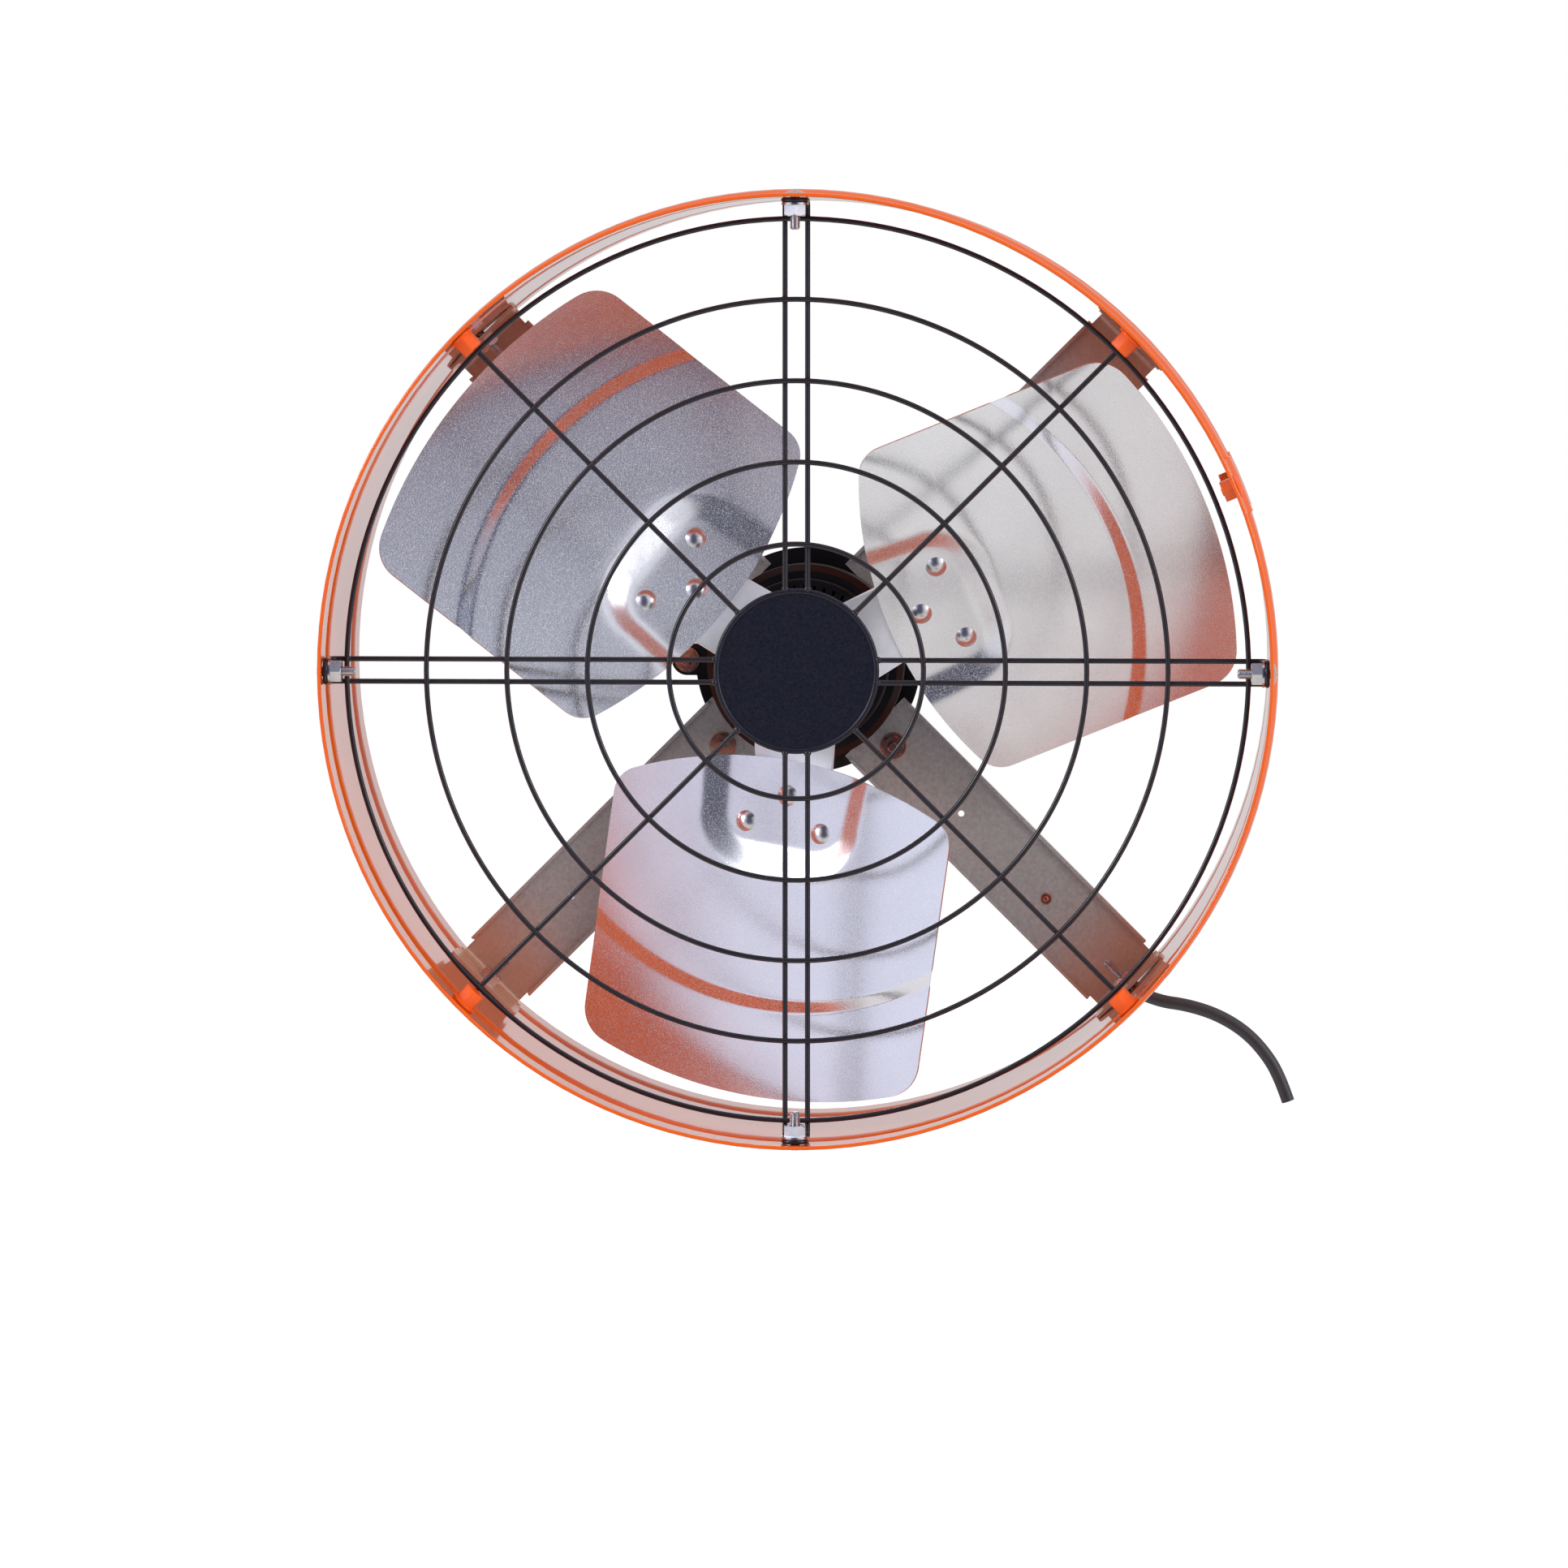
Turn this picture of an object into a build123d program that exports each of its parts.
from build123d import *
import os
from math import atan, cos, degrees, pi, radians, sin, sqrt, tan

# Attic fan: a painted steel ring with a wire guard, four channel arms, a motor and a three-blade rotor.
# Millimetres. +Z is up and the fan's axis lies along Y. The guard faces -Y, and the origin is the
# centre of the ring's rear rim. A station is a distance forward of the rear rim. An azimuth is
# counter-clockwise from +X, as seen from the guard side.

# Ring
ring_outer_d = 439.0
ring_depth = 150.0
ring_sheet_t = 0.9
hem_width = 5.0
bead_inset = 26.0
bead_width = 18.0
bead_height = 3.0
fastener_inset = 11.0
seam_azimuth = 23.0
seam_lap_angle = 7.0

# Fasteners of the ring, the guard and the arms
thread_d = 4.9
hole_clearance = 0.25
thread_clearance = 0.05
bolt_head_d = 11.0
bolt_head_height = 2.2
bolt_head_edge = 0.5
bolt_tip_chamfer = 0.5
head_seat_gap = 0.05
nut_width = 9.5
nut_height = 5.0
nut_corner_taper = 45.0
washer_d = 12.5
washer_t = 1.0
stub_length = 6.3

# Bracket nuts, welded inside the ring
bracket_nut_width = 9.8
bracket_nut_height = 8.6
bracket_flange_d = 12.5
bracket_flange_t = 1.4
bracket_thread_d = 5.0

# Wire guard
wire_d = 2.4
guard_inset = 22.0
guard_ring_radii = (58.7, 96.4, 133.7, 171.0, 207.9)
hairpin_spacing = 10.4
hairpin_bend_r = 4.0
hairpin_loop_slack = 0.2
wire_wall_gap = 0.1
cap_d = 76.4
cap_roll_d = 2.6
cap_sheet_t = 1.0

# Arms
arm_width = 39.6
arm_sheet_t = 1.5
arm_lip = 5.0
arm_inner_r = 44.7
arm_bend_r = 5.0
arm_tab_width = 42.0
arm_tab_reach = 13.5
arm_tab_corner_r = 4.0
arm_notch = 4.0
arm_notch_length = 6.5
arm_wall_gap = 0.08
arm_bolt_rise = 14.5
arm_bolt_bead_gap = 8.0
arm_bolt_stub = 9.7
arm_clip_hole_d = 3.0
arm_clip_hole_radii = (103.0, 160.0)
arm_lip_setback = 3.0

# Motor
flange_d = 107.0
flange_t = 3.0
lug_r = 7.5
stud_circle_r = 57.5
stud_stub = 4.5
nut_flange_d = 13.0
nut_flange_t = 1.5
nut_flange_taper = 20.0
bell_d = 93.0
neck_d = 86.0
neck_gap = 2.0
bell_bore_d = 82.0
bell_front_length = 33.5
bell_wall = 2.5
bell_chamfer = 3.0
bell_step_r = 40.0
bell_step_height = 5.0
bell_step_fillet = 1.2
boss_d = 29.0
boss_rise = 8.0
hub_cone_d = 44.0
hub_cone_rise = 4.0
bell_rear_length = 24.5
vent_count = 48
vent_inner_r = 30.0
vent_outer_r = 37.0
vent_width = 1.4
rear_vent_count = 24
rear_vent_inner_r = 20.0
rear_vent_outer_r = 33.0
rear_vent_width = 3.0
stator_fit = 0.05
stator_length = 28.0
stator_setback = 9.5
stator_bore_d = 49.0
air_gap = 0.5
slot_count = 24
slot_width = 3.0
slot_depth = 8.0
slot_lip = 1.0
winding_inner_r = 27.0
winding_outer_r = 35.5
winding_length = 7.0
winding_round = 2.0
cutout_size = (14.0, 6.0, 4.0)
cutout_gap = 0.1
cutout_corner_r = 1.0
through_bolt_d = 3.0
through_bolt_circle_r = 38.6
through_head_width = 5.5
through_head_height = 2.2
through_hole_spare = 2.0
shaft_d = 8.0
shaft_rise = 3.0
shaft_rear_inset = 1.0
shaft_flat_depth = 0.6
shaft_chamfer = 0.6
shaft_hole_clearance = 1.0
bearing_d = 22.0
bearing_width = 7.0
bearing_running_gap = 0.03
bearing_lip = 3.0
rear_bearing_wall = 1.5
bearing_chamfer = 0.4
rotor_core_chamfer = 0.8

# Rotor
blade_azimuths = (22.0, 142.0, 262.0)
blade_guard_gap = 39.0
blade_bell_gap = 27.0
blade_pitch = 22.0
blade_sheet_t = 1.2
blade_tip_r = 203.0
blade_half_width = 81.0
blade_root_r = 44.5
blade_root_corner = 64.0
blade_tip_corner_r = 17.0
blade_root_corner_r = 14.0
joggle_r = 156.0
joggle_width = 6.0
joggle_depth = 2.5
pad_depth = 5.0
pad_outer = 85.0
pad_inner = 30.0
pad_half_width_outer = 30.0
pad_half_width_inner = 34.0
pad_corner_r = 13.0
pad_slope = 8.0
pad_overcut = 1.25
blank_depth = 16.0
rivet_head_d = 10.0
rivet_head_height = 2.2
rivet_shank_d = 4.8
rivet_tail_d = 8.0
rivet_tail_height = 1.6
rivet_places = ((61.0, 0.0), (76.0, 19.5), (76.0, -19.5))
rivet_fit = 0.02
spider_t = 2.5
spider_arm_width = 39.5
spider_disc_d = 60.0
spider_twist_start = 24.0
spider_twist_end = 46.0
spider_neck_end = 54.0
spider_paddle_start = 66.0
spider_paddle_end = 83.0
spider_paddle_half_width = 27.0
spider_corner_r = 6.0
hub_flange_d = 40.0
hub_flange_t = 2.4
hub_d = 26.0
hub_length = 17.7
hub_fit = 0.02
set_screw_d = 5.0
set_screw_rise = 10.5
set_screw_recess = 0.8
set_socket_width = 2.5
set_socket_depth = 2.5

# Supply lead
lead_d = 6.2
bend_share = 0.45
lead_azimuth = -45.0
lead_arm_gap = 0.1
lead_side = -11.0
lead_lift_off = 45.7
gland_rise = 10.0
gland_length = 21.5
gland_base_d = 13.0
gland_tip_d = 9.0
gland_seat = 3.0
lead_slip = 0.05
grommet_d = 11.8
grommet_core_d = 9.0
grommet_length = 9.0
grommet_groove_slack = 0.05
lead_exit_azimuth = -46.0
lead_exit_slant = 21.0
clip_places = (134.0, 153.0)
clip_width = 8.0
clip_t = 0.9
clip_foot = 4.0

# Worked out
ring_outer_r = ring_outer_d / 2
ring_bore_r = ring_outer_r - 2 * ring_sheet_t
ring_wall_outer_r = ring_bore_r + ring_sheet_t
ring_mid_r = ring_bore_r + ring_sheet_t / 2
bead_turn = degrees(2 * atan(2 * bead_height / bead_width))
bead_r = bead_width / (4 * sin(radians(bead_turn)))
thread_r = thread_d / 2
hole_r = thread_r + hole_clearance
nut_bore_d = thread_d + 2 * thread_clearance
front_fastener_station = ring_depth - fastener_inset
guard_azimuths = (0.0, 90.0, 180.0, 270.0)
arm_azimuths = (45.0, 135.0, 225.0, 315.0)
wire_r = wire_d / 2
guard_station = ring_depth - guard_inset
blade_station = guard_station - blade_guard_gap
bell_front_station = blade_station - blade_bell_gap
arm_station = bell_front_station - bell_front_length
bell_rear_station = arm_station - bell_rear_length
arm_web_front = arm_station + arm_sheet_t
arm_bolt_station = max(arm_station + arm_bolt_rise, bead_inset + bead_width / 2 + arm_bolt_bead_gap)
arm_tab_end = arm_bolt_station + arm_tab_reach
arm_tab_face = sqrt(ring_bore_r**2 - (arm_tab_width / 2) ** 2) - arm_wall_gap
flange_rear_station = arm_station - flange_t
shaft_r = shaft_d / 2
bearing_r = bearing_d / 2
boss_front_station = bell_front_station + boss_rise
front_bearing_station = boss_front_station - bearing_lip - bearing_width
rear_bearing_station = bell_rear_station + rear_bearing_wall
blade_normal = Vector(0, -cos(radians(blade_pitch)), -sin(radians(blade_pitch)))
spider_front_station = blade_station - (pad_depth + blade_sheet_t) / cos(radians(blade_pitch))
hub_front_station = spider_front_station + hub_length
shaft_front_station = hub_front_station + shaft_rise
shaft_rear_station = rear_bearing_station + shaft_rear_inset
stator_rear_station = arm_station - stator_setback
gland_station = bell_rear_station + gland_rise

os.makedirs("parts", exist_ok=True)


def front_plane(station):
    """A plane across the fan's axis: local x is X, local y is Z, and its normal points forward."""
    return Plane.XZ.offset(station)


def section_plane(azimuth=0.0):
    """A plane through the axis: local x is the radius at this azimuth and local y is the station."""
    angle = radians(azimuth)
    return Plane(origin=(0, 0, 0), x_dir=(cos(angle), 0, sin(angle)), z_dir=(sin(angle), 0, -cos(angle)))


def radial_plane(distance, azimuth=0.0):
    """A plane facing outwards at this radius: local x is the station, local y runs clockwise."""
    angle = radians(azimuth)
    outwards = Vector(cos(angle), 0, sin(angle))
    return Plane(origin=outwards * distance, x_dir=(0, -1, 0), z_dir=outwards)


def turned(shape, azimuth):
    """A copy of a shape made at azimuth 0, turned counter-clockwise to its own azimuth."""
    return shape.rotate(Axis.Y, -azimuth)


def all_round(piece, azimuths):
    """Separate copies of one piece at several azimuths, kept together as one part."""
    with BuildPart() as group:
        for azimuth in azimuths:
            add(turned(piece, azimuth))
    return group.part


def rims(piece, radius):
    """The circular edges of a piece that have this radius."""
    return piece.edges().filter_by(GeomType.CIRCLE).filter_by(lambda rim: abs(rim.radius - radius) < 0.01)


def finish(shape, name):
    """Label a finished piece and write its file."""
    shape.label = name
    export_step(shape, f"parts/{name}.step")


def radial_bolt(station, seat, tip):
    """A domed-head bolt along +X: the head lies on the outside, and the tip points at the axis."""
    crown = seat + bolt_head_height
    with BuildPart() as bolt:
        with BuildSketch(section_plane()):
            with BuildLine():
                head_edge = (seat + bolt_head_edge, station + bolt_head_d / 2)
                dome = TangentArc((crown, station), head_edge, tangent=(0, 1))
                Polyline(
                    dome @ 1,
                    (seat, station + bolt_head_d / 2),
                    (seat, station + thread_r),
                    (tip + bolt_tip_chamfer, station + thread_r),
                    (tip, station + thread_r - bolt_tip_chamfer),
                    (tip, station),
                    (crown, station),
                )
            make_face()
        revolve(axis=Axis((0, -station, 0), (1, 0, 0)))
    return bolt.part


def hex_nut(plane, place, width, height, bore_d):
    """A hexagon nut that stands on a plane at a place, with the corners of its free end cut back."""
    with BuildPart() as nut:
        with BuildSketch(plane):
            with Locations(place):
                RegularPolygon(width / 2, 6, major_radius=False)
        extrude(amount=height)
        with BuildSketch(plane):
            with Locations(place):
                Circle(width / 2 + height)
        extrude(amount=height, taper=nut_corner_taper, mode=Mode.INTERSECT)
        with BuildSketch(plane):
            with Locations(place):
                Circle(bore_d / 2)
        extrude(amount=height, mode=Mode.SUBTRACT)
    return nut.part


# Ring: sheet steel with a folded hem at each rim and two beads rolled outwards
def bead_line(start_radius, centre_station, outside):
    """Three tangent arcs along a bead; outside is this side's distance from the sheet's bore side."""
    start = (start_radius, centre_station - bead_width / 2)
    rise = JernArc(start, (0, 1), bead_r - outside, -bead_turn)
    crest = JernArc(rise @ 1, rise % 1, bead_r + outside, 2 * bead_turn)
    return JernArc(crest @ 1, crest % 1, bead_r - outside, -bead_turn)


def sheet_side(radius, outside, low, high):
    """One side of the ring's sheet, from a low station to a high one, with both beads."""
    lower = bead_line(radius, bead_inset, outside)
    upper = bead_line(radius, ring_depth - bead_inset, outside)
    Line((radius, low), (radius, bead_inset - bead_width / 2))
    Line(lower @ 1, (radius, ring_depth - bead_inset - bead_width / 2))
    Line(upper @ 1, (radius, high))


with BuildPart() as ring_shroud:
    with BuildSketch(section_plane()):
        with BuildLine():
            sheet_side(ring_bore_r, 0, ring_sheet_t, ring_depth - ring_sheet_t)
            sheet_side(ring_wall_outer_r, ring_sheet_t, hem_width, ring_depth - hem_width)
            for rim, step in ((0, 1), (ring_depth, -1)):
                hem_start = rim + step * hem_width
                hem_round = rim + step * ring_sheet_t
                Line((ring_wall_outer_r, hem_start), (ring_outer_r, hem_start))
                Line((ring_outer_r, hem_start), (ring_outer_r, hem_round))
                ThreePointArc((ring_outer_r, hem_round), (ring_wall_outer_r, rim), (ring_bore_r, hem_round))
        make_face()
    revolve(axis=Axis.Y)
    with BuildSketch(section_plane(seam_azimuth + seam_lap_angle / 2)):
        with BuildLine():
            lap_low = hem_width
            lap_high = ring_depth - hem_width
            sheet_side(ring_mid_r, ring_sheet_t / 2, lap_low, lap_high)
            sheet_side(ring_outer_r, 2 * ring_sheet_t, lap_low, lap_high)
            Line((ring_mid_r, lap_low), (ring_outer_r, lap_low))
            Line((ring_mid_r, lap_high), (ring_outer_r, lap_high))
        make_face()
    revolve(axis=Axis.Y, revolution_arc=seam_lap_angle)

lead_angle = radians(lead_exit_azimuth + lead_exit_slant)
lead_way = Vector(cos(lead_angle), 0, sin(lead_angle))
grommet_angle = radians(lead_exit_azimuth)
grommet_centre = Vector(cos(grommet_angle), 0, sin(grommet_angle)) * ring_mid_r
grommet_centre = grommet_centre + Vector(0, -fastener_inset, 0)
lead_plane = Plane(origin=grommet_centre, x_dir=(0, 1, 0), z_dir=lead_way)

with BuildPart(mode=Mode.PRIVATE) as ring_holes:
    drill_start = ring_bore_r - bead_height
    drill_length = ring_outer_r + bead_height - drill_start
    drilled = [(azimuth, front_fastener_station, thread_r) for azimuth in guard_azimuths]
    drilled += [(azimuth, front_fastener_station, bracket_thread_d / 2) for azimuth in arm_azimuths]
    drilled += [(azimuth, arm_bolt_station, thread_r) for azimuth in arm_azimuths]
    drilled += [(seam_azimuth, station, thread_r) for station in (fastener_inset, front_fastener_station)]
    for azimuth, station, radius in drilled:
        with BuildSketch(radial_plane(drill_start, azimuth)):
            with Locations((station, 0)):
                Circle(radius + hole_clearance)
        extrude(amount=drill_length)
    with BuildSketch(lead_plane):
        Circle(grommet_core_d / 2 + grommet_groove_slack)
    extrude(amount=grommet_length, both=True)

with BuildPart() as ring_drilled:
    add(ring_shroud.part)
    add(ring_holes.part, mode=Mode.SUBTRACT)
finish(ring_drilled.part, "ring_shroud")


# Seam fasteners, through the ring and its lap
seam_seat = ring_outer_r + head_seat_gap
seam_tip = ring_bore_r - nut_height - bolt_tip_chamfer
seam_stations = (fastener_inset, front_fastener_station)
with BuildPart() as seam_bolts:
    for station in seam_stations:
        add(turned(radial_bolt(station, seam_seat, seam_tip), seam_azimuth))
finish(seam_bolts.part, "seam_bolts")

# A nut's flat face rests on the ring's curved bore along its two outer edges
nut_seat_r = sqrt(ring_bore_r**2 - (nut_width / 2) ** 2)
inward_nut_plane = Plane(origin=(nut_seat_r, 0, 0), x_dir=(0, -1, 0), z_dir=(-1, 0, 0))
with BuildPart() as seam_nuts:
    for station in seam_stations:
        nut = hex_nut(inward_nut_plane, (station, 0), nut_width, nut_height, nut_bore_d)
        add(turned(nut, seam_azimuth))
finish(seam_nuts.part, "seam_nuts")


# Bracket nuts: flanged hexagon nuts welded to the bore for the mounting brackets' screws
bracket_seat_r = sqrt(ring_bore_r**2 - (bracket_flange_d / 2) ** 2)
bracket_plane = Plane(origin=(bracket_seat_r, 0, 0), x_dir=(0, -1, 0), z_dir=(-1, 0, 0))
bracket_bore_d = bracket_thread_d + 2 * thread_clearance
with BuildPart() as bracket_nut:
    bracket_place = (front_fastener_station, 0)
    add(hex_nut(bracket_plane, bracket_place, bracket_nut_width, bracket_nut_height, bracket_bore_d))
    with BuildSketch(bracket_plane):
        with Locations(bracket_place):
            Circle(bracket_flange_d / 2)
            Circle(bracket_bore_d / 2, mode=Mode.SUBTRACT)
    extrude(amount=bracket_flange_t)
finish(all_round(bracket_nut.part, arm_azimuths), "bracket_nuts")


# Guard wires
ring_wire_station = guard_station + wire_d
with BuildPart() as guard_rings:
    for radius in guard_ring_radii:
        with BuildSketch(section_plane()):
            with Locations((radius, ring_wire_station)):
                Circle(wire_r)
        revolve(axis=Axis.Y)
finish(guard_rings.part, "guard_rings")

hairpin_end_r = sqrt(ring_bore_r**2 - (hairpin_spacing / 2 + wire_r) ** 2) - wire_r - wire_wall_gap
hairpin_side = hairpin_spacing / 2
hairpin_crown = front_fastener_station + hairpin_side
cap_r = cap_d / 2
hairpin_start_r = sqrt(cap_r**2 - (hairpin_side - wire_r) ** 2)
with BuildPart() as guard_hairpin:
    with BuildLine() as hairpin_path:
        FilletPolyline(
            (hairpin_start_r, -guard_station, hairpin_side),
            (hairpin_end_r, -guard_station, hairpin_side),
            (hairpin_end_r, -hairpin_crown, hairpin_side),
            (hairpin_end_r, -hairpin_crown, -hairpin_side),
            (hairpin_end_r, -guard_station, -hairpin_side),
            (hairpin_start_r, -guard_station, -hairpin_side),
            radius=[
                hairpin_bend_r,
                hairpin_side - hairpin_loop_slack,
                hairpin_side - hairpin_loop_slack,
                hairpin_bend_r,
            ],
        )
    with BuildSketch(Plane(origin=hairpin_path.line @ 0, z_dir=hairpin_path.line % 0)):
        Circle(wire_r)
    sweep()
for number, azimuth in enumerate(guard_azimuths, start=1):
    finish(turned(guard_hairpin.part, azimuth), f"guard_hairpin_{number}")

with BuildPart() as guard_spoke:
    with BuildSketch(Plane.YZ.offset(cap_r)):
        with Locations((-guard_station, 0)):
            Circle(wire_r)
    extrude(amount=guard_ring_radii[-1] + wire_r - cap_r)
finish(all_round(guard_spoke.part, arm_azimuths), "guard_spokes")

with BuildPart() as guard_cap:
    with BuildSketch(section_plane()):
        with Locations((cap_r - cap_roll_d / 2, guard_station)):
            Circle(cap_roll_d / 2)
        with BuildLine():
            plate_front = guard_station + cap_sheet_t / 2
            plate_back = guard_station - cap_sheet_t / 2
            Polyline(
                (0, plate_back),
                (cap_r - cap_roll_d / 2, plate_back),
                (cap_r - cap_roll_d / 2, plate_front),
                (0, plate_front),
                close=True,
            )
        make_face()
    revolve(axis=Axis.Y)
finish(guard_cap.part, "guard_cap")


# Guard fixings: bolt, washer and nut clamp each hairpin's loop to the ring
washer_seat_r = hairpin_end_r - wire_r
guard_nut_seat_r = washer_seat_r - washer_t
guard_bolt_tip = guard_nut_seat_r - nut_height - stub_length
guard_bolt = radial_bolt(front_fastener_station, ring_wall_outer_r + head_seat_gap, guard_bolt_tip)
finish(all_round(guard_bolt, guard_azimuths), "guard_bolts")

with BuildPart() as guard_washer:
    with BuildSketch(Plane.YZ.offset(guard_nut_seat_r)):
        with Locations((-front_fastener_station, 0)):
            Circle(washer_d / 2)
            Circle(thread_r + thread_clearance, mode=Mode.SUBTRACT)
    extrude(amount=washer_t)
finish(all_round(guard_washer.part, guard_azimuths), "guard_washers")

guard_nut_plane = Plane(origin=(guard_nut_seat_r, 0, 0), x_dir=(0, -1, 0), z_dir=(-1, 0, 0))
guard_nut = hex_nut(guard_nut_plane, (front_fastener_station, 0), nut_width, nut_height, nut_bore_d)
finish(all_round(guard_nut, guard_azimuths), "guard_nuts")


# Arms: shallow channels with their lips forward, bent forward at the ring and bolted to it
arm_bend_start = arm_tab_face - arm_bend_r
with BuildPart() as arm:
    with BuildSketch(section_plane()):
        with BuildLine():
            outer_bend = RadiusArc(
                (arm_bend_start, arm_station), (arm_tab_face, arm_station + arm_bend_r), -arm_bend_r
            )
            inner_bend = RadiusArc(
                (arm_bend_start, arm_web_front),
                (arm_tab_face - arm_sheet_t, arm_station + arm_bend_r),
                -(arm_bend_r - arm_sheet_t),
            )
            tab_tip = [(arm_tab_face, arm_tab_end), (arm_tab_face - arm_sheet_t, arm_tab_end)]
            Polyline(outer_bend @ 1, *tab_tip, inner_bend @ 1)
            arm_inner_end = [(arm_inner_r, arm_web_front), (arm_inner_r, arm_station)]
            Polyline(inner_bend @ 0, *arm_inner_end, outer_bend @ 0)
        make_face()
    extrude(amount=arm_width / 2, both=True)
    tab_start = arm_station + arm_bend_r
    with BuildSketch(radial_plane(arm_tab_face - arm_sheet_t)) as tab_outline:
        with Locations((tab_start, 0)):
            Rectangle(arm_tab_end - tab_start, arm_tab_width, align=(Align.MIN, Align.CENTER))
        fillet(tab_outline.vertices(), arm_tab_corner_r)
    extrude(amount=arm_sheet_t)
    for side in (-1, 1):
        lip_start = arm_inner_r + arm_lip_setback
        with BuildSketch(section_plane()):
            with Locations((lip_start, arm_station)):
                Rectangle(
                    arm_bend_start - arm_notch - lip_start, arm_lip, align=(Align.MIN, Align.MIN)
                )
        extrude(amount=-side * arm_width / 2)
        with BuildSketch(section_plane()):
            with Locations((arm_inner_r, arm_web_front)):
                Rectangle(arm_bend_start - arm_inner_r, arm_lip, align=(Align.MIN, Align.MIN))
        extrude(amount=-side * (arm_width / 2 - arm_sheet_t), mode=Mode.SUBTRACT)
    notch_start = arm_bend_start - arm_notch
    with BuildSketch(front_plane(arm_station)):
        with Locations((notch_start, arm_width / 2), (notch_start, -arm_width / 2)):
            Rectangle(arm_notch_length, arm_notch, align=(Align.MIN, Align.CENTER))
    extrude(amount=arm_lip + arm_bend_r, both=True, mode=Mode.SUBTRACT)
    with BuildSketch(front_plane(arm_station)):
        with Locations((stud_circle_r, 0)):
            Circle(hole_r)
        with Locations(*[(radius, 0) for radius in arm_clip_hole_radii]):
            Circle(arm_clip_hole_d / 2)
    extrude(amount=arm_sheet_t, mode=Mode.SUBTRACT)
    with BuildSketch(radial_plane(arm_tab_face - arm_sheet_t)):
        with Locations((arm_bolt_station, 0)):
            Circle(hole_r)
    extrude(amount=arm_sheet_t, mode=Mode.SUBTRACT)
for azimuth, name in zip(arm_azimuths, ("upper_right", "upper_left", "lower_left", "lower_right")):
    finish(turned(arm.part, azimuth), f"arm_{name}")

arm_nut_seat_r = arm_tab_face - arm_sheet_t
arm_bolt_tip = arm_nut_seat_r - nut_height - arm_bolt_stub
arm_bolt = radial_bolt(arm_bolt_station, ring_wall_outer_r + head_seat_gap, arm_bolt_tip)
finish(all_round(arm_bolt, arm_azimuths), "arm_bolts")
arm_nut_plane = Plane(origin=(arm_nut_seat_r, 0, 0), x_dir=(0, -1, 0), z_dir=(-1, 0, 0))
arm_nut = hex_nut(arm_nut_plane, (arm_bolt_station, 0), nut_width, nut_height, nut_bore_d)
finish(all_round(arm_nut, arm_azimuths), "arm_nuts")


# Motor flange: the rear bell's rim spreads into a plate with a lug for each stud
earth_azimuth = 180.0
lug_azimuths = arm_azimuths + (earth_azimuth,)


def round_place(radius, azimuth):
    """The point at a radius and an azimuth, in a front plane's own two directions."""
    return (radius * cos(radians(azimuth)), radius * sin(radians(azimuth)))


with BuildPart() as motor_flange:
    with BuildSketch(front_plane(flange_rear_station)) as flange_outline:
        Circle(flange_d / 2)
        for azimuth in lug_azimuths:
            with Locations(round_place(stud_circle_r, azimuth)):
                Circle(lug_r)
            with Locations(Location(round_place(stud_circle_r / 2, azimuth), azimuth)):
                Rectangle(stud_circle_r, 2 * lug_r)
        Circle(neck_d / 2, mode=Mode.SUBTRACT)
        for azimuth in lug_azimuths:
            with Locations(round_place(stud_circle_r, azimuth)):
                Circle(thread_r + thread_clearance, mode=Mode.SUBTRACT)
    extrude(amount=flange_t)
finish(motor_flange.part, "motor_flange")


def stud(tip_station):
    """A stud along the axis at azimuth 0, flush with the back of the motor's flange."""
    with BuildPart() as plain_stud:
        with BuildSketch(front_plane(flange_rear_station)):
            with Locations((stud_circle_r, 0)):
                Circle(thread_r)
        extrude(amount=tip_station - flange_rear_station)
        chamfer(plain_stud.edges().group_by(Axis.Y)[0], bolt_tip_chamfer)
    return plain_stud.part


def flange_nut(seat_station):
    """A hexagon nut with its own round flange, standing on a plane across the axis."""
    seat = front_plane(seat_station)
    with BuildPart() as nut:
        add(hex_nut(seat.offset(nut_flange_t), (stud_circle_r, 0), nut_width, nut_height, thread_d))
        with BuildSketch(seat):
            with Locations((stud_circle_r, 0)):
                Circle(nut_flange_d / 2)
        extrude(amount=nut_flange_t, taper=nut_flange_taper)
        with BuildSketch(seat):
            with Locations((stud_circle_r, 0)):
                Circle(thread_r + thread_clearance)
        extrude(amount=nut_flange_t + nut_height, mode=Mode.SUBTRACT)
    return nut.part


stud_rise = nut_flange_t + nut_height + stud_stub
finish(all_round(stud(arm_web_front + stud_rise), arm_azimuths), "mount_studs")
finish(all_round(flange_nut(arm_web_front), arm_azimuths), "mount_nuts")
finish(turned(stud(arm_station + stud_rise), earth_azimuth), "earth_stud")
finish(turned(flange_nut(arm_station), earth_azimuth), "earth_nut")


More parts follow.
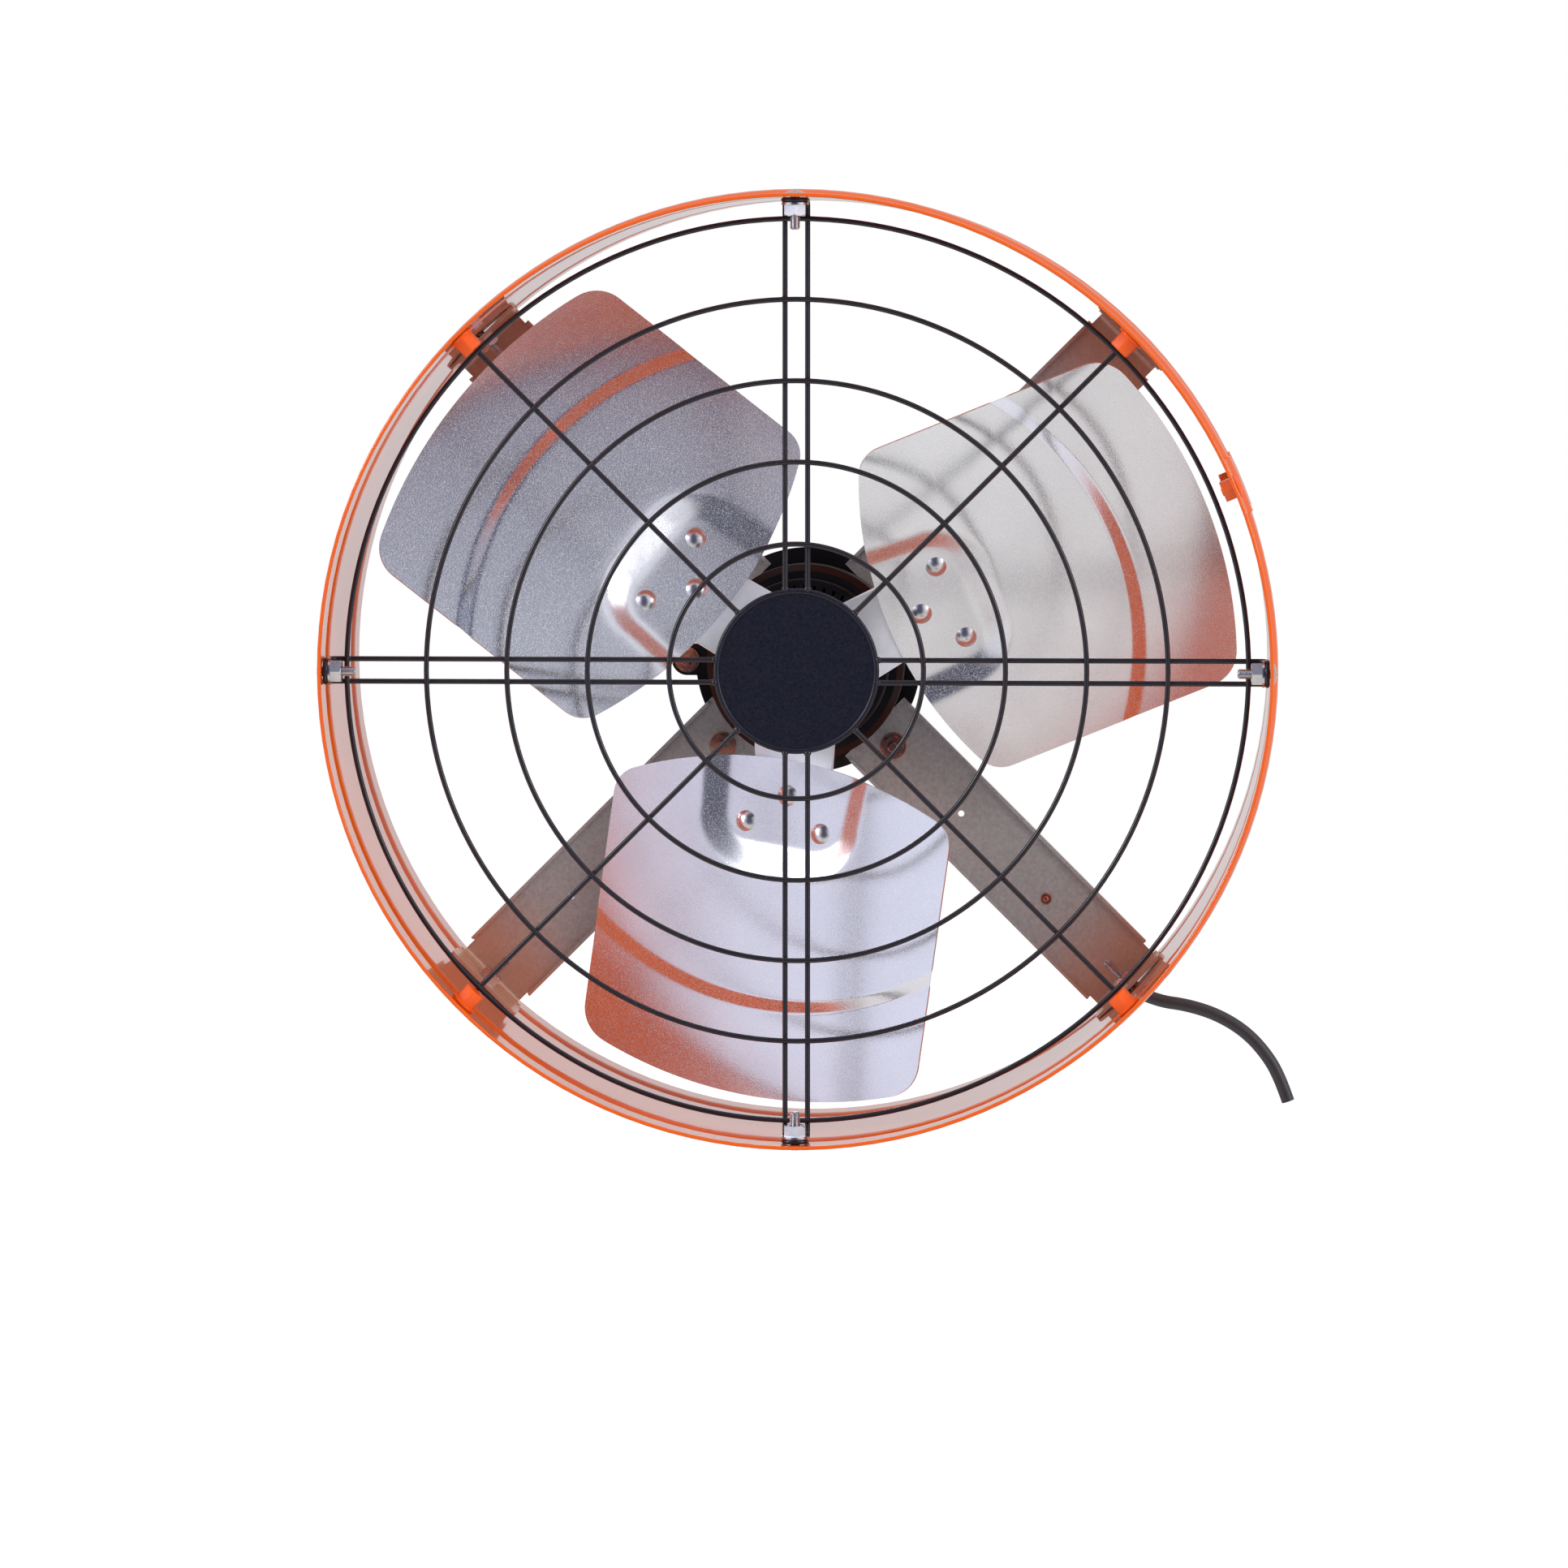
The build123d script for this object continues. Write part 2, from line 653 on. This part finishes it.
# Motor bells
bell_r = bell_d / 2
neck_r = neck_d / 2
cavity_r = bell_bore_d / 2
neck_front_station = arm_station + arm_lip + neck_gap
shoulder_station = bell_front_station - bell_step_height
cavity_front_station = bell_front_station - bell_wall
stator_r = cavity_r - stator_fit
with BuildPart() as front_bell:
    with BuildSketch(section_plane()):
        with BuildLine():
            Polyline(
                (0, arm_station),
                (neck_r, arm_station),
                (neck_r, neck_front_station),
                (bell_r, neck_front_station),
                (bell_r, shoulder_station - bell_chamfer),
                (bell_r - bell_chamfer, shoulder_station),
                (bell_step_r, shoulder_station),
                (bell_step_r, bell_front_station),
                (hub_cone_d / 2 + hub_cone_rise, bell_front_station),
                (hub_cone_d / 2, bell_front_station + hub_cone_rise),
                (boss_d / 2, bell_front_station + hub_cone_rise),
                (boss_d / 2, boss_front_station),
                (0, boss_front_station),
                close=True,
            )
        make_face()
    revolve(axis=Axis.Y)
    fillet(rims(front_bell, bell_step_r).sort_by(Axis.Y).first, bell_step_fillet)
    with BuildSketch(section_plane()):
        with BuildLine():
            Polyline(
                (0, arm_station),
                (cavity_r, arm_station),
                (cavity_r, shoulder_station - bell_wall),
                (bell_step_r - bell_wall, shoulder_station - bell_wall),
                (bell_step_r - bell_wall, cavity_front_station),
                (0, cavity_front_station),
                close=True,
            )
        make_face()
    revolve(axis=Axis.Y, mode=Mode.SUBTRACT)
    with BuildSketch(front_plane(front_bearing_station)):
        Circle(bearing_r)
    extrude(amount=cavity_front_station - front_bearing_station - bell_wall, mode=Mode.SUBTRACT)
    with BuildSketch(front_plane(cavity_front_station)):
        Circle(bearing_r)
    extrude(amount=front_bearing_station + bearing_width - cavity_front_station, mode=Mode.SUBTRACT)
    with BuildSketch(front_plane(cavity_front_station)):
        Circle(shaft_r + shaft_hole_clearance)
    extrude(amount=boss_front_station - cavity_front_station, mode=Mode.SUBTRACT)
    with BuildSketch(front_plane(cavity_front_station)):
        with PolarLocations((vent_inner_r + vent_outer_r) / 2, vent_count):
            SlotOverall(vent_outer_r - vent_inner_r, vent_width)
    extrude(amount=bell_wall, mode=Mode.SUBTRACT)
    with BuildSketch(front_plane(shoulder_station - bell_wall)):
        with PolarLocations(through_bolt_circle_r, 4):
            Circle(through_bolt_d / 2 + thread_clearance)
    extrude(amount=bell_wall + through_hole_spare, mode=Mode.SUBTRACT)
finish(front_bell.part, "front_bell")

bearing_seat_wall = boss_d / 2
rear_inner_station = bell_rear_station + bell_wall
rear_boss_station = rear_bearing_station + bearing_width
with BuildPart() as rear_bell:
    with BuildSketch(section_plane()):
        with BuildLine():
            Polyline(
                (0, bell_rear_station),
                (bell_r - bell_chamfer, bell_rear_station),
                (bell_r, bell_rear_station + bell_chamfer),
                (bell_r, flange_rear_station),
                (neck_r, flange_rear_station),
                (neck_r, arm_station),
                (cavity_r, arm_station),
                (cavity_r, rear_inner_station),
                (bearing_seat_wall, rear_inner_station),
                (bearing_seat_wall, rear_boss_station),
                (bearing_r, rear_boss_station),
                (bearing_r, rear_bearing_station),
                (0, rear_bearing_station),
                close=True,
            )
        make_face()
    revolve(axis=Axis.Y)
    with BuildSketch(front_plane(bell_rear_station)):
        with PolarLocations((rear_vent_inner_r + rear_vent_outer_r) / 2, rear_vent_count):
            SlotOverall(rear_vent_outer_r - rear_vent_inner_r, rear_vent_width)
        with PolarLocations(through_bolt_circle_r, 4):
            Circle(through_bolt_d / 2 + thread_clearance)
    extrude(amount=bell_wall, mode=Mode.SUBTRACT)
    with BuildSketch(radial_plane(cavity_r, lead_azimuth)):
        with Locations((gland_station, 0)):
            Circle(gland_base_d / 2 + lead_slip)
    extrude(amount=bell_r - cavity_r, mode=Mode.SUBTRACT)
finish(rear_bell.part, "rear_bell")


# Motor insides
with BuildPart() as stator_core:
    with BuildSketch(front_plane(stator_rear_station)):
        Circle(stator_r)
        Circle(stator_bore_d / 2, mode=Mode.SUBTRACT)
        with PolarLocations(stator_bore_d / 2 + slot_lip + slot_depth / 2, slot_count):
            Rectangle(slot_depth, slot_width, mode=Mode.SUBTRACT)
        with PolarLocations(through_bolt_circle_r, 4):
            Circle(through_bolt_d / 2 + thread_clearance, mode=Mode.SUBTRACT)
    extrude(amount=stator_length)
finish(stator_core.part, "stator_core")

stator_front_station = stator_rear_station + stator_length
with BuildPart() as stator_windings:
    for start in (stator_rear_station - winding_length, stator_front_station):
        with BuildSketch(front_plane(start)):
            Circle(winding_outer_r)
            Circle(winding_inner_r, mode=Mode.SUBTRACT)
        extrude(amount=winding_length)
    for end in (0, -1):
        fillet(stator_windings.edges().filter_by(GeomType.CIRCLE).group_by(Axis.Y)[end], winding_round)
finish(stator_windings.part, "stator_windings")

cutout_station = stator_front_station + winding_length + cutout_gap
with BuildPart() as thermal_cutout:
    with BuildSketch(front_plane(cutout_station)):
        with Locations((0, (winding_inner_r + winding_outer_r) / 2)):
            RectangleRounded(cutout_size[0], cutout_size[1], cutout_corner_r)
    extrude(amount=cutout_size[2])
finish(thermal_cutout.part, "thermal_cutout")

with BuildPart() as through_bolts:
    with BuildSketch(front_plane(bell_rear_station)):
        with PolarLocations(through_bolt_circle_r, 4):
            Circle(through_bolt_d / 2)
    extrude(amount=shoulder_station - bell_rear_station)
    with BuildSketch(front_plane(bell_rear_station)):
        with PolarLocations(through_bolt_circle_r, 4):
            RegularPolygon(through_head_width / 2, 6, major_radius=False)
    extrude(amount=-through_head_height)
finish(through_bolts.part, "through_bolts")

with BuildPart() as motor_shaft:
    with BuildSketch(front_plane(shaft_rear_station)):
        Circle(shaft_r)
    extrude(amount=shaft_front_station - shaft_rear_station)
    chamfer(rims(motor_shaft, shaft_r), shaft_chamfer)
    with BuildSketch(front_plane(spider_front_station)):
        with Locations((0, shaft_r - shaft_flat_depth)):
            Rectangle(shaft_d, shaft_d, align=(Align.CENTER, Align.MIN))
    extrude(amount=shaft_front_station - spider_front_station, mode=Mode.SUBTRACT)
finish(motor_shaft.part, "motor_shaft")

rotor_core_r = stator_bore_d / 2 - air_gap
with BuildPart() as rotor_core:
    with BuildSketch(front_plane(stator_rear_station)):
        Circle(rotor_core_r)
        Circle(shaft_r, mode=Mode.SUBTRACT)
    extrude(amount=stator_length)
    chamfer(rims(rotor_core, rotor_core_r), rotor_core_chamfer)
finish(rotor_core.part, "rotor_core")

for name, station in (("front_bearing", front_bearing_station), ("rear_bearing", rear_bearing_station)):
    with BuildPart() as bearing:
        with BuildSketch(front_plane(station)):
            Circle(bearing_r)
            Circle(shaft_r + bearing_running_gap, mode=Mode.SUBTRACT)
        extrude(amount=bearing_width)
        chamfer(rims(bearing, bearing_r), bearing_chamfer)
    finish(bearing.part, name)


# Blades: flat pressed sheet with a sunk pad for the rivets and a stepped band towards the tip
def pitched_plane(depth_below=0.0):
    """The blade's own plane at azimuth 0: local x is the radius and local y runs along the chord."""
    origin = Vector(0, -blade_station, 0) - blade_normal * depth_below
    return Plane(origin=origin, x_dir=(1, 0, 0), z_dir=blade_normal)


def pad_outline(depth_below, spread):
    """The sunk pad's outline at a depth, spread outwards from its floor's edge."""
    with BuildSketch(pitched_plane(depth_below)) as outline:
        with BuildLine():
            Polyline(
                (pad_inner, -pad_half_width_inner - spread),
                (pad_outer + spread, -pad_half_width_outer - spread),
                (pad_outer + spread, pad_half_width_outer + spread),
                (pad_inner, pad_half_width_inner + spread),
                close=True,
            )
        make_face()
        fillet(outline.vertices().group_by(Axis.X)[-1], pad_corner_r + spread)
    return outline.sketch


with BuildPart() as blade_blank:
    with BuildSketch(pitched_plane()):
        with Locations((blade_tip_r / 2, 0)):
            Rectangle(blade_tip_r + blank_depth, 2 * (blade_half_width + blank_depth))
    extrude(amount=-blank_depth)
    stepping_plane = Plane(
        origin=(0, -blade_station, 0), x_dir=(1, 0, 0), z_dir=Vector(1, 0, 0).cross(blade_normal)
    )
    blank_end_r = blade_tip_r + blade_half_width
    with BuildSketch(stepping_plane):
        with BuildLine():
            Polyline(
                (joggle_r, 0),
                (joggle_r + joggle_width, -joggle_depth),
                (blank_end_r, -joggle_depth),
                (blank_end_r, joggle_depth),
                (joggle_r - joggle_width, joggle_depth),
                close=True,
            )
        make_face()
    revolve(axis=Axis((0, -blade_station, 0), blade_normal), mode=Mode.SUBTRACT)
    pad_floor = pad_outline(pad_depth, 0)
    pad_mouth = pad_outline(pad_depth * (1 - pad_overcut), pad_slope * pad_overcut)
    loft([pad_floor, pad_mouth], ruled=True, mode=Mode.SUBTRACT)

blade_outline_x = sqrt(blade_tip_r**2 - blade_half_width**2)
with BuildPart() as blade:
    add(blade_blank.part)
    add(blade_blank.part.moved(Location(blade_normal * -blade_sheet_t)), mode=Mode.SUBTRACT)
    with BuildSketch(front_plane(0)) as blade_outline:
        with BuildLine():
            tip_low = (blade_outline_x, -blade_half_width)
            tip_high = (blade_outline_x, blade_half_width)
            root_low = (blade_root_corner, -blade_half_width)
            root_high = (blade_root_corner, blade_half_width)
            Line(root_low, tip_low)
            ThreePointArc(tip_low, (blade_tip_r, 0), tip_high)
            Line(tip_high, root_high)
            ThreePointArc(root_high, (blade_root_r, 0), root_low)
        make_face()
        fillet(blade_outline.vertices().group_by(Axis.X)[-1], blade_tip_corner_r)
        fillet(blade_outline.vertices().group_by(Axis.X)[0], blade_root_corner_r)
    extrude(amount=ring_depth, mode=Mode.INTERSECT)
    with BuildSketch(pitched_plane()):
        with Locations(*rivet_places):
            Circle(rivet_shank_d / 2 + rivet_fit)
    extrude(amount=-blank_depth, mode=Mode.SUBTRACT)
for number, azimuth in enumerate(blade_azimuths, start=1):
    finish(turned(blade.part, azimuth), f"blade_{number}")


# Spider: a riveted plate whose three arms twist from the hub's plane to the blades' pitch
pad_back = pad_depth + blade_sheet_t
spider_rear_station = spider_front_station - spider_t
spider_arm_plane = pitched_plane(pad_back)
twist_end_centre = Vector(spider_twist_end, 0, 0) + spider_arm_plane.origin - blade_normal * (spider_t / 2)
chord_way = Vector(0, -sin(radians(blade_pitch)), cos(radians(blade_pitch)))
twist_start_centre = (spider_twist_start, -(spider_front_station + spider_rear_station) / 2, 0)
with BuildPart() as spider_arm:
    with BuildSketch(spider_arm_plane) as paddle:
        with BuildLine():
            Polyline(
                (spider_twist_end, -spider_arm_width / 2),
                (spider_neck_end, -spider_arm_width / 2),
                (spider_paddle_start, -spider_paddle_half_width),
                (spider_paddle_end, -spider_paddle_half_width),
                (spider_paddle_end, spider_paddle_half_width),
                (spider_paddle_start, spider_paddle_half_width),
                (spider_neck_end, spider_arm_width / 2),
                (spider_twist_end, spider_arm_width / 2),
                close=True,
            )
        make_face()
        fillet(paddle.vertices().group_by(Axis.X)[-1], spider_corner_r)
    extrude(amount=-spider_t)
    with BuildSketch(Plane(origin=twist_start_centre, x_dir=(0, 0, 1), z_dir=(1, 0, 0))) as twist_start:
        Rectangle(spider_arm_width, spider_t)
    with BuildSketch(Plane(origin=twist_end_centre, x_dir=chord_way, z_dir=(1, 0, 0))) as twist_end:
        Rectangle(spider_arm_width, spider_t)
    loft([twist_start.sketch, twist_end.sketch], ruled=True)
    with BuildSketch(pitched_plane()):
        with Locations(*rivet_places):
            Circle(rivet_shank_d / 2 + rivet_fit)
    extrude(amount=-blank_depth, mode=Mode.SUBTRACT)
with BuildPart() as spider:
    with BuildSketch(front_plane(spider_rear_station)):
        Circle(spider_disc_d / 2)
    extrude(amount=spider_t)
    for azimuth in blade_azimuths:
        add(turned(spider_arm.part, azimuth))
    with BuildSketch(front_plane(spider_rear_station)):
        Circle(shaft_r + hub_fit)
    extrude(amount=spider_t, mode=Mode.SUBTRACT)
finish(spider.part, "spider")

# A rivet lies along -Y here, its head's seat at the origin, and is then carried to each place
with BuildPart() as blade_rivet:
    with BuildSketch(section_plane()):
        with BuildLine():
            rivet_dome = TangentArc((0, rivet_head_height), (rivet_head_d / 2, 0), tangent=(1, 0))
            tail_seat = -blade_sheet_t - spider_t
            Polyline(
                rivet_dome @ 1,
                (rivet_shank_d / 2, 0),
                (rivet_shank_d / 2, tail_seat),
                (rivet_tail_d / 2, tail_seat),
                (rivet_shank_d / 2, tail_seat - rivet_tail_height),
                (0, tail_seat - rivet_tail_height),
                (0, rivet_head_height),
            )
        make_face()
    revolve(axis=Axis.Y)
rivet_seat_plane = pitched_plane(pad_depth)
with BuildPart() as blade_rivets:
    for azimuth in blade_azimuths:
        for radius, side in rivet_places:
            seat = rivet_seat_plane.from_local_coords((radius, side, 0))
            placed = blade_rivet.part.rotate(Axis.X, blade_pitch).moved(Location(seat))
            add(turned(placed, azimuth))
finish(blade_rivets.part, "blade_rivets")


# Hub: a flanged collar on the shaft, in front of the spider, held by a set screw on the shaft's flat
set_screw_station = spider_front_station + set_screw_rise
with BuildPart() as hub_collar:
    with BuildSketch(section_plane()):
        with BuildLine():
            Polyline(
                (shaft_r + hub_fit, spider_front_station),
                (hub_flange_d / 2, spider_front_station),
                (hub_flange_d / 2, spider_front_station + hub_flange_t),
                (hub_d / 2, spider_front_station + hub_flange_t),
                (hub_d / 2, hub_front_station),
                (shaft_r + hub_fit, hub_front_station),
                close=True,
            )
        make_face()
    revolve(axis=Axis.Y)
    with BuildSketch(radial_plane(shaft_r / 2, 90)):
        with Locations((set_screw_station, 0)):
            Circle(set_screw_d / 2 + thread_clearance)
    extrude(amount=hub_d, mode=Mode.SUBTRACT)
finish(hub_collar.part, "hub_collar")

set_screw_tip_r = shaft_r - shaft_flat_depth + thread_clearance
set_screw_end_r = hub_d / 2 - set_screw_recess
with BuildPart() as set_screw:
    with BuildSketch(radial_plane(set_screw_tip_r, 90)):
        with Locations((set_screw_station, 0)):
            Circle(set_screw_d / 2)
    extrude(amount=set_screw_end_r - set_screw_tip_r)
    with BuildSketch(radial_plane(set_screw_end_r, 90)):
        with Locations((set_screw_station, 0)):
            RegularPolygon(set_socket_width / 2, 6, major_radius=False)
    extrude(amount=-set_socket_depth, mode=Mode.SUBTRACT)
finish(set_screw.part, "set_screw")


# Supply lead: out of the rear bell, along the back of the lower right arm and out through the ring
def on_arm(distance, side, station):
    """A point beside the lower right arm: its distance from the axis, its side and its station."""
    angle = radians(lead_azimuth)
    outwards = Vector(cos(angle), 0, sin(angle)) * distance
    across = Vector(-sin(angle), 0, cos(angle)) * side
    return outwards + across - Vector(0, station, 0)


def bend_radii(points):
    """The largest arc that each corner of a route allows, from the shorter of its two runs."""
    radii = []
    for before, corner, after in zip(points, points[1:], points[2:]):
        turn = (corner - before).get_angle(after - corner)
        shorter = min((corner - before).length, (after - corner).length)
        radii.append(bend_share * shorter / tan(radians(turn) / 2))
    return radii


def lead_tube(points, name):
    """A round tube along a route, written to its own file, with its bends and length printed."""
    radii = bend_radii(points)
    with BuildPart() as tube:
        with BuildLine():
            route = FilletPolyline(*points, radius=radii)
        with BuildSketch(Plane(origin=route @ 0, z_dir=route % 0)):
            Circle(lead_d / 2)
        sweep()
    ratio = tube.part.volume / (pi * (lead_d / 2) ** 2 * route.length)
    print(name, "radii", [round(radius, 1) for radius in radii])
    print(name, "length", round(route.length, 1), "volume ratio", round(ratio, 5))
    finish(tube.part, name)


gland_inner_r = bell_r - gland_seat
gland_end_r = gland_inner_r + gland_length
lead_arm_station = arm_station - lead_d / 2 - lead_arm_gap
grommet_face = grommet_centre + lead_way * (grommet_length / 2)
with BuildPart() as lead_gland:
    with BuildSketch(radial_plane(gland_inner_r, lead_azimuth)):
        with Locations((gland_station, 0)):
            Circle(gland_base_d / 2)
    with BuildSketch(radial_plane(gland_end_r, lead_azimuth)):
        with Locations((gland_station, 0)):
            Circle(gland_tip_d / 2)
    loft()
finish(lead_gland.part, "lead_gland")

lead_tube(
    [
        on_arm(gland_end_r, 0, gland_station),
        on_arm(80, 0, gland_station),
        on_arm(98, -5.5, gland_station + 4.5),
        on_arm(118, lead_side, lead_arm_station),
        on_arm(ring_bore_r - lead_lift_off, lead_side, lead_arm_station),
        grommet_face - lead_way * 26,
        grommet_face,
    ],
    "lead_inner",
)
lead_tube(
    [
        grommet_face,
        grommet_face + lead_way * 11,
        Vector(180.5, -fastener_inset, -165.4),
        Vector(195.5, -fastener_inset, -170.2),
        Vector(209.0, -fastener_inset, -178.6),
        Vector(219.3, -fastener_inset, -190.3),
        Vector(225.2, -fastener_inset, -201.5),
        Vector(228.6, -fastener_inset, -211.3),
    ],
    "lead_tail",
)

# The grommet's groove clasps this stretch of the ring's wall
with BuildPart() as clasped_wall:
    with BuildSketch(section_plane()):
        with Locations((ring_bore_r - grommet_groove_slack, fastener_inset)):
            groove_depth = ring_sheet_t + 2 * grommet_groove_slack
            Rectangle(groove_depth, 2 * grommet_d, align=(Align.MIN, Align.CENTER))
    revolve(axis=Axis.Y)
    with BuildSketch(lead_plane):
        Circle(grommet_core_d / 2)
    extrude(amount=grommet_length, both=True, mode=Mode.SUBTRACT)
with BuildPart() as ring_grommet:
    with BuildSketch(lead_plane.offset(-grommet_length / 2)):
        Circle(grommet_d / 2)
        Circle(lead_d / 2 + lead_slip, mode=Mode.SUBTRACT)
    extrude(amount=grommet_length)
    add(clasped_wall.part, mode=Mode.SUBTRACT)
finish(ring_grommet.part, "ring_grommet")

# Saddle clips hold the lead to the back of the arm
clip_inner_r = lead_d / 2 + lead_slip
clip_outer_r = clip_inner_r + clip_t
clip_foot_reach = clip_outer_r + clip_foot
with BuildPart() as lead_clips:
    for distance in clip_places:
        with BuildSketch(radial_plane(distance - clip_width / 2)):
            with Locations((lead_arm_station, -lead_side)):
                Circle(clip_outer_r)
                Rectangle(arm_station - lead_arm_station, 2 * clip_outer_r, align=(Align.MIN, Align.CENTER))
                Circle(clip_inner_r, mode=Mode.SUBTRACT)
                Rectangle(
                    arm_station - lead_arm_station,
                    2 * clip_inner_r,
                    align=(Align.MIN, Align.CENTER),
                    mode=Mode.SUBTRACT,
                )
            with Locations((arm_station, -lead_side)):
                Rectangle(
                    clip_outer_r, 2 * clip_outer_r, align=(Align.MIN, Align.CENTER), mode=Mode.SUBTRACT
                )
            for side in (-1, 1):
                foot_side = -lead_side + side * (clip_outer_r + clip_foot_reach) / 2
                with Locations((arm_station - clip_t, foot_side)):
                    Rectangle(clip_t, clip_foot + clip_t, align=(Align.MIN, Align.CENTER))
        extrude(amount=clip_width)
finish(turned(lead_clips.part, lead_azimuth), "lead_clips")
